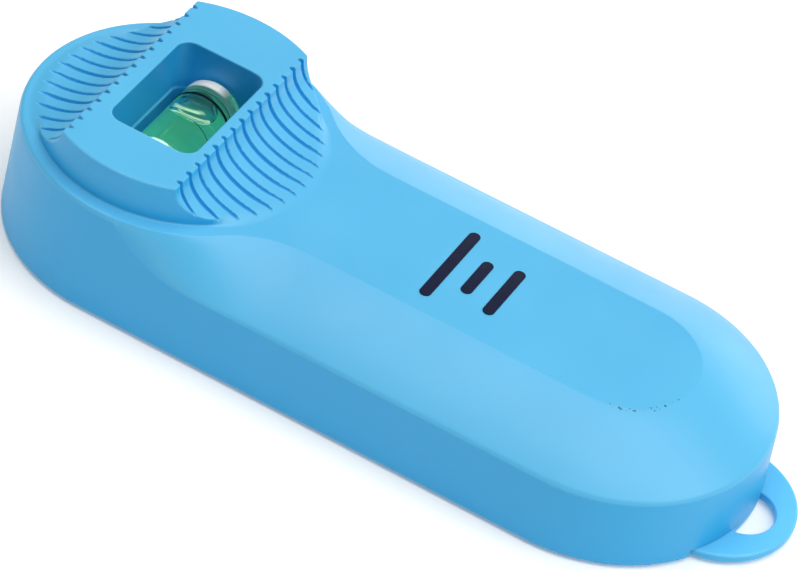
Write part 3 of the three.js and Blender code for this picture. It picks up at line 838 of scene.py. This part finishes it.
def cover_field(x, y, z):
    along = np.clip(x, 0, SPAN)
    slab = np.abs(z - (LIFT + COVER_Z) / 2) - (COVER_Z - LIFT) / 2
    plate = round_max(np.hypot(x - along, y) - COVER_R, slab, 0.12)
    loop = np.hypot(x - np.clip(x, SPAN + 5, LOOP_X), y) - LOOP_R
    loop = round_max(loop, slab, LOOP_ROUND)
    field = round_min(plate, loop, 0.05)
    hole = np.maximum(np.hypot(x - LOOP_HOLE_X, y) - LOOP_HOLE_R, BODY_R - 0.05 - np.hypot(x - SPAN, y))
    field = round_max(field, -hole, LOOP_ROUND * 0.6)
    for centre_x, centre_y in MAGNETS.values():
        reach = np.hypot(x - centre_x, y - centre_y) - MAGNET_R - RIM_MIDDLE
        rim = round_max(np.abs(reach) - RIM_HALF, z - COVER_Z - RIM_TALL, 0.15)
        field = round_min(field, np.maximum(rim, COVER_Z - 0.3 - z), 0.2)
    for centre_x, centre_y in COVER_SCREWS:
        reach = np.hypot(x - centre_x, y - centre_y)
        cone = (reach - np.clip(SINK_R - 0.95 * (z - LIFT), HOLE_R, SINK_R)) * 0.75
        field = round_max(field, -cone, 0.05)
    for start, end, radius in PADS.values():
        recess = np.hypot(x - np.clip(x, start, end), y) - radius - 0.15
        field = round_max(field, -np.maximum(recess, z - PAD_THICK), 0.05)
    return field


def cover_piece(material):
    fine = 1.0
    xs = graded((-18.8, 72, 0.36 * fine), (72, 88, 0.17 * fine))
    ys = graded((-18.8, -10.2, 0.36 * fine), (-10.2, 10.2, 0.17 * fine), (10.2, 18.8, 0.36 * fine))
    zs = graded((0.25, 1.75, 0.11), (1.75, 4.6, 0.3))
    cover = place("cover_moulding", *mesh_field(cover_field, xs, ys, zs), material)
    thin(cover, COVER_TRIANGLES)
    set_normals(cover, cover_field)
    return finish_piece(cover, HOUSING, "cover", "base_cover")


def vial_tube_piece(material):
    outer = soften([(BORE_R, VIAL_NEAR), (VIAL_R, VIAL_NEAR), (VIAL_R, VIAL_FAR), (0, VIAL_FAR)], 0.55, 6)
    end = VIAL_FAR - VIAL_CLOSED
    inner = soften([(0, end), (BORE_R, end), (BORE_R, VIAL_NEAR)], 0.9, 6)
    tube = turn("vial_tube", outer + inner, (VIAL_X, 0, VIAL_Z), "Y", material)
    return finish_piece(tube, HOUSING, "vial_clear", "vial_barrel")


def vial_liquid_piece(material):
    low, high = VIAL_NEAR + VIAL_PLUG, VIAL_FAR - VIAL_CLOSED + 0.01
    r = BORE_R + 0.01
    profile = soften([(0, low), (r, low), (r, high), (0, high)], 0.85, 6)
    liquid = turn("vial_fill", profile, (VIAL_X, 0, VIAL_Z), "Y", material)
    return finish_piece(liquid, HOUSING, "vial_liquid", "vial_liquid")


def bubble_field(x, y, z):
    """A bubble pressed against the top of the bore, with a flat meniscus below and round ends."""
    bore = np.hypot(x - VIAL_X, z - VIAL_Z) - BORE_R + 0.06
    below = VIAL_Z + BUBBLE_FLOOR - z
    ends = np.hypot((x - BUBBLE_X) * BUBBLE_ROUND, y - BUBBLE_Y) - BUBBLE_HALF
    return round_max(round_max(bore, below, 0.4), ends, 1.1)


def bubble_piece(material):
    xs = graded((VIAL_X - 3.4, VIAL_X + 3.4, 0.12))
    ys = graded((BUBBLE_Y - 3.3, BUBBLE_Y + 3.3, 0.12))
    zs = graded((VIAL_Z + 0.4, VIAL_Z + 3.5, 0.1))
    bubble = place("air_bubble", *mesh_field(bubble_field, xs, ys, zs), material)
    set_normals(bubble, bubble_field)
    return finish_piece(bubble, BUBBLE_BODY, "vial_bubble", "vial_bubble")


def ring_pieces(*materials):
    for (node, (y, width)), material in zip(RINGS.items(), materials):
        r = VIAL_R + 0.015
        profile = [(r, y - width / 2), (r + 0.05, y - width / 2 + 0.03), (r + 0.065, y),
                   (r + 0.05, y + width / 2 - 0.03), (r, y + width / 2)]
        ring = turn(node + "_line", profile, (VIAL_X, 0, VIAL_Z), "Y", material, 128)
        finish_piece(ring, HOUSING, "black_print", node)


def plug_piece(material):
    r = BORE_R - 0.06
    inner = VIAL_NEAR + VIAL_PLUG - 0.02
    profile = soften([(0, VIAL_NEAR), (r, VIAL_NEAR), (r, inner), (0, inner)], 0.3)
    plug = turn("vial_plug", profile, (VIAL_X, 0, VIAL_Z), "Y", material)
    return finish_piece(plug, HOUSING, "white_plastic", "vial_end_plug")


def retainer_field(x, y, z):
    plan = box_distance(x - VIAL_X, y, *RETAINER_PLATE)
    half = RETAINER_THICK / 2
    field = round_max(plan, np.abs(z - RETAINER_Z - half) - half, 0.2)
    side = np.abs(np.abs(x - VIAL_X) - CHEEK_X) - CHEEK_HALF_X
    cheek = np.maximum(side, np.abs(y - CHEEK_Y) - CHEEK_HALF_Y)
    cheek = round_max(cheek, np.maximum(RETAINER_Z + 1.5 - z, z - VIAL_Z + 1.2), 0.12)
    field = round_min(field, cheek, 0.15)
    field = round_max(field, VIAL_R + 0.3 - np.hypot(x - VIAL_X, z - VIAL_Z), 0.08)
    for centre_y in RETAINER_SCREWS:
        field = round_max(field, 1.0 - np.hypot(x - VIAL_X, y - centre_y), 0.08)
    return field


def retainer_piece(material):
    grid = (graded((-4.2, 4.5, 0.16)), graded((-16.3, 16.3, 0.22)), graded((6.0, 12.6, 0.16)))
    retainer = place("retainer_saddle", *mesh_field(retainer_field, *grid), material)
    set_normals(retainer, retainer_field)
    return finish_piece(retainer, HOUSING, "white_plastic", "vial_retainer")


def foam_field(x, y, z):
    """A foam strip whose long sides bulge a little between its flat top and bottom."""
    low, high = RETAINER_Z + RETAINER_THICK + 0.15, VIAL_Z - VIAL_R - 0.12
    middle, half = (low + high) / 2, (high - low) / 2
    side = np.abs(x - VIAL_X) - FOAM_HALF_X + 0.12 * ((z - middle) / half) ** 2
    plan = round_max(side, np.abs(y - FOAM_Y) - FOAM_HALF_Y, 0.5)
    return round_max(plan, np.abs(z - middle) - half, 0.22)


def foam_piece(material):
    grid = (graded((-2.8, 3.1, 0.12)), graded((-8.3, 7.5, 0.2)), graded((7.9, 9.5, 0.09)))
    foam = place("foam_strip", *mesh_field(foam_field, *grid), material)
    set_normals(foam, foam_field)
    return finish_piece(foam, HOUSING, "foam", "vial_pad")


def screw_profile(head_z, head_r, head_tall, shank_r, length, pitch=0.8):
    """A countersunk screw standing on its head, with rings for its threads and a point."""
    profile = [(0, head_z), (head_r - 0.08, head_z), (head_r, head_z + 0.1), (shank_r, head_z + head_tall)]
    z = head_z + head_tall + 0.3
    while z < head_z + length - 1.3:
        profile += [(shank_r - 0.18, z), (shank_r, z + pitch / 2)]
        z += pitch
    return profile + [(shank_r - 0.2, z), (0, head_z + length)]


def screw_pieces(material):
    for i, (x, y) in enumerate(COVER_SCREWS, 1):
        profile = screw_profile(LIFT + 0.05, *COVER_SCREW)
        screw = turn(f"base_screw_{i}", profile, (x, y, 0), "Z", material, 48)
        for turned in (0, 90):
            cut(screw, recess_bar(x, y, turned + 20 * i))
        smooth_by_angle(screw)
        finish_piece(screw, HOUSING, "steel", f"cover_screw_{i}")
    for i, y in enumerate(RETAINER_SCREWS, 1):
        profile = screw_profile(RETAINER_Z - 0.95, *RETAINER_SCREW)
        screw = turn(f"saddle_screw_{i}", profile, (VIAL_X, y, 0), "Z", material, 48)
        finish_piece(screw, HOUSING, "steel", f"retainer_screw_{i}")


def recess_bar(x, y, degrees):
    """One bar of the cross recess, narrower at its depth."""
    points = []
    for half_length, half_width, z in ((1.05, 0.24, LIFT - 0.3), (0.75, 0.15, LIFT + 0.75)):
        for u, v in ((-1, -1), (1, -1), (1, 1), (-1, 1)):
            points.append((u * half_length, v * half_width, z))
    spin = Matrix.Rotation(math.radians(degrees), 3, "Z")
    points = [tuple(spin @ Vector(p) + Vector((x, y, 0))) for p in points]
    faces = [(3, 2, 1, 0), (4, 5, 6, 7), (0, 1, 5, 4), (1, 2, 6, 5), (2, 3, 7, 6), (3, 0, 4, 7)]
    return place("recess_bar", points, faces)


def magnet_pieces(nickel, steel):
    bottom = COVER_Z + 0.05
    top = bottom + MAGNET_THICK
    for node, (x, y) in MAGNETS.items():
        profile = soften([(0, bottom), (MAGNET_R, bottom), (MAGNET_R, top), (0, top)], 0.3)
        finish_piece(turn(node + "_disc", profile, (x, y, 0), "Z", nickel), HOUSING, "magnet", node)
    low = top + 0.05
    high = low + KEEPER_THICK
    plate = rounded_rectangle(0, 0, *KEEPER_HEAD)
    head = raise_outline("keeper_head", plate, low, high, steel, 0.15)
    finish_piece(head, HOUSING, "steel", "keeper_plate_head")
    disc = circle(*MAGNETS["magnet_tail"], KEEPER_TAIL_R, 72)
    tail = raise_outline("keeper_tail", disc, low, high, steel, 0.15)
    finish_piece(tail, HOUSING, "steel", "keeper_plate_tail")


def pad_pieces(material):
    for node, (start, end, radius) in PADS.items():
        outline = stadium(start, end, radius)
        pad = raise_outline(node + "_felt", outline, 0, PAD_THICK - 0.05, material, 0.22, 4)
        finish_piece(pad, HOUSING, "felt", node)


def mark_pieces(material):
    low = RIM_Z + 0.015
    for node, (x, y, length) in MARKS.items():
        outline = bar_outline(x, y, MARK_WIDTH, length)
        bar = raise_outline(node + "_ink", outline, low, low + MARK_THICK, material, 0.03)
        finish_piece(bar, HOUSING, "navy_print", node)


# ---- Camera, floor and light ----
def camera():
    azimuth, elevation, roll = (math.radians(a) for a in (VIEW_AZIMUTH, VIEW_ELEVATION, VIEW_ROLL))
    right = Vector((math.cos(azimuth), math.sin(azimuth), 0))
    level = math.cos(elevation)
    back = Vector((math.sin(azimuth) * level, -math.cos(azimuth) * level, math.sin(elevation)))
    turned = Matrix.Rotation(roll, 3, back)
    right = turned @ right
    up = back.cross(right)
    data = bpy.data.cameras.new("camera")
    data.lens = LENS
    data.sensor_width = SENSOR
    data.clip_start, data.clip_end = 0.01, 20
    obj = collection_add(bpy.data.objects.new("camera", data))
    rotation = Matrix((right, up, back)).transposed().to_4x4()
    target = Vector((AIM[0] + HEAD_X, AIM[1], AIM[2])) * MM
    obj.matrix_world = Matrix.Translation(target + back * DISTANCE * MM) @ rotation
    bpy.context.scene.camera = obj


def softbox(name, place_at, size, power, colour):
    data = bpy.data.lights.new(name, "AREA")
    data.shape = "RECTANGLE"
    data.size, data.size_y = size
    data.energy = power
    data.color = colour
    obj = collection_add(bpy.data.objects.new(name, data))
    obj.location = place_at
    aim = Vector((0, 0, 10 * MM)) - Vector(place_at)
    obj.rotation_euler = aim.to_track_quat("-Z", "Y").to_euler()


def studio():
    floor = bpy.data.meshes.new("floor")
    signs = ((-1, -1), (1, -1), (1, 1), (-1, 1))
    corners = [(u * FLOOR_HALF, v * FLOOR_HALF, FLOOR_Z) for u, v in signs]
    floor.from_pydata(corners, [], [(0, 1, 2, 3)])
    paper = Paint("paper", Emission_Color=(1.0, 0.97, 0.94, 1.0), Emission_Strength=FLOOR_GLOW)
    shade = paper.ramp(paper.noise(3, 2), (0.3, (0.93, 0.92, 0.89)), (0.7, (0.96, 0.95, 0.92)))
    paper.set("Base Color", shade)
    paper.set("Roughness", paper.ramp(paper.noise(40, 2), (0.3, 0.85), (0.7, 0.95)))
    floor.materials.append(paper.material)
    collection_add(bpy.data.objects.new("floor", floor))
    world = bpy.data.worlds.new("studio")
    world.use_nodes = True
    sky = world.node_tree.nodes["Background"].inputs
    sky["Color"].default_value = (1, 1, 1, 1)
    sky["Strength"].default_value = WORLD
    bpy.context.scene.world = world
    for light in LIGHTS:
        softbox(*light)
    bpy.context.scene.view_settings.view_transform = "Standard"


def build():
    camera()
    studio()
    shell_blue = blue_plastic("shell_blue", *SHELL_BLUES)
    cover_blue = blue_plastic("cover_blue", *COVER_BLUES)
    white = mottled("white_plastic", (0.72, 0.71, 0.67), (0.82, 0.81, 0.78), 240, (0.4, 0.5))
    ink_navy = mottled("navy_ink", (0.001, 0.004, 0.028), (0.003, 0.008, 0.042), 900, (0.5, 0.65),
                       Specular_IOR_Level=0.2)
    ink_black = mottled("black_ink", (0.0, 0.003, 0.004), (0.0, 0.007, 0.009), 900, (0.5, 0.65),
                        Specular_IOR_Level=0.1)
    foam = mottled("white_foam", (0.8, 0.8, 0.78), (0.9, 0.9, 0.88), 1500, (0.85, 1.0), bump=(0.9, 0.12))
    nickel = mottled("nickel", (0.55, 0.54, 0.51), (0.7, 0.69, 0.66), 350, (0.16, 0.28), metal=1.0)
    steel = brushed_steel()
    shell_piece(shell_blue)
    cover_piece(cover_blue)
    vial_tube_piece(clear_acrylic())
    vial_liquid_piece(green_liquid())
    bubble_piece(bubble_air())
    ring_pieces(ink_black, worn_ink())
    plug_piece(white)
    retainer_piece(white)
    foam_piece(foam)
    screw_pieces(steel)
    magnet_pieces(nickel, steel)
    pad_pieces(felt())
    mark_pieces(ink_navy)


build()
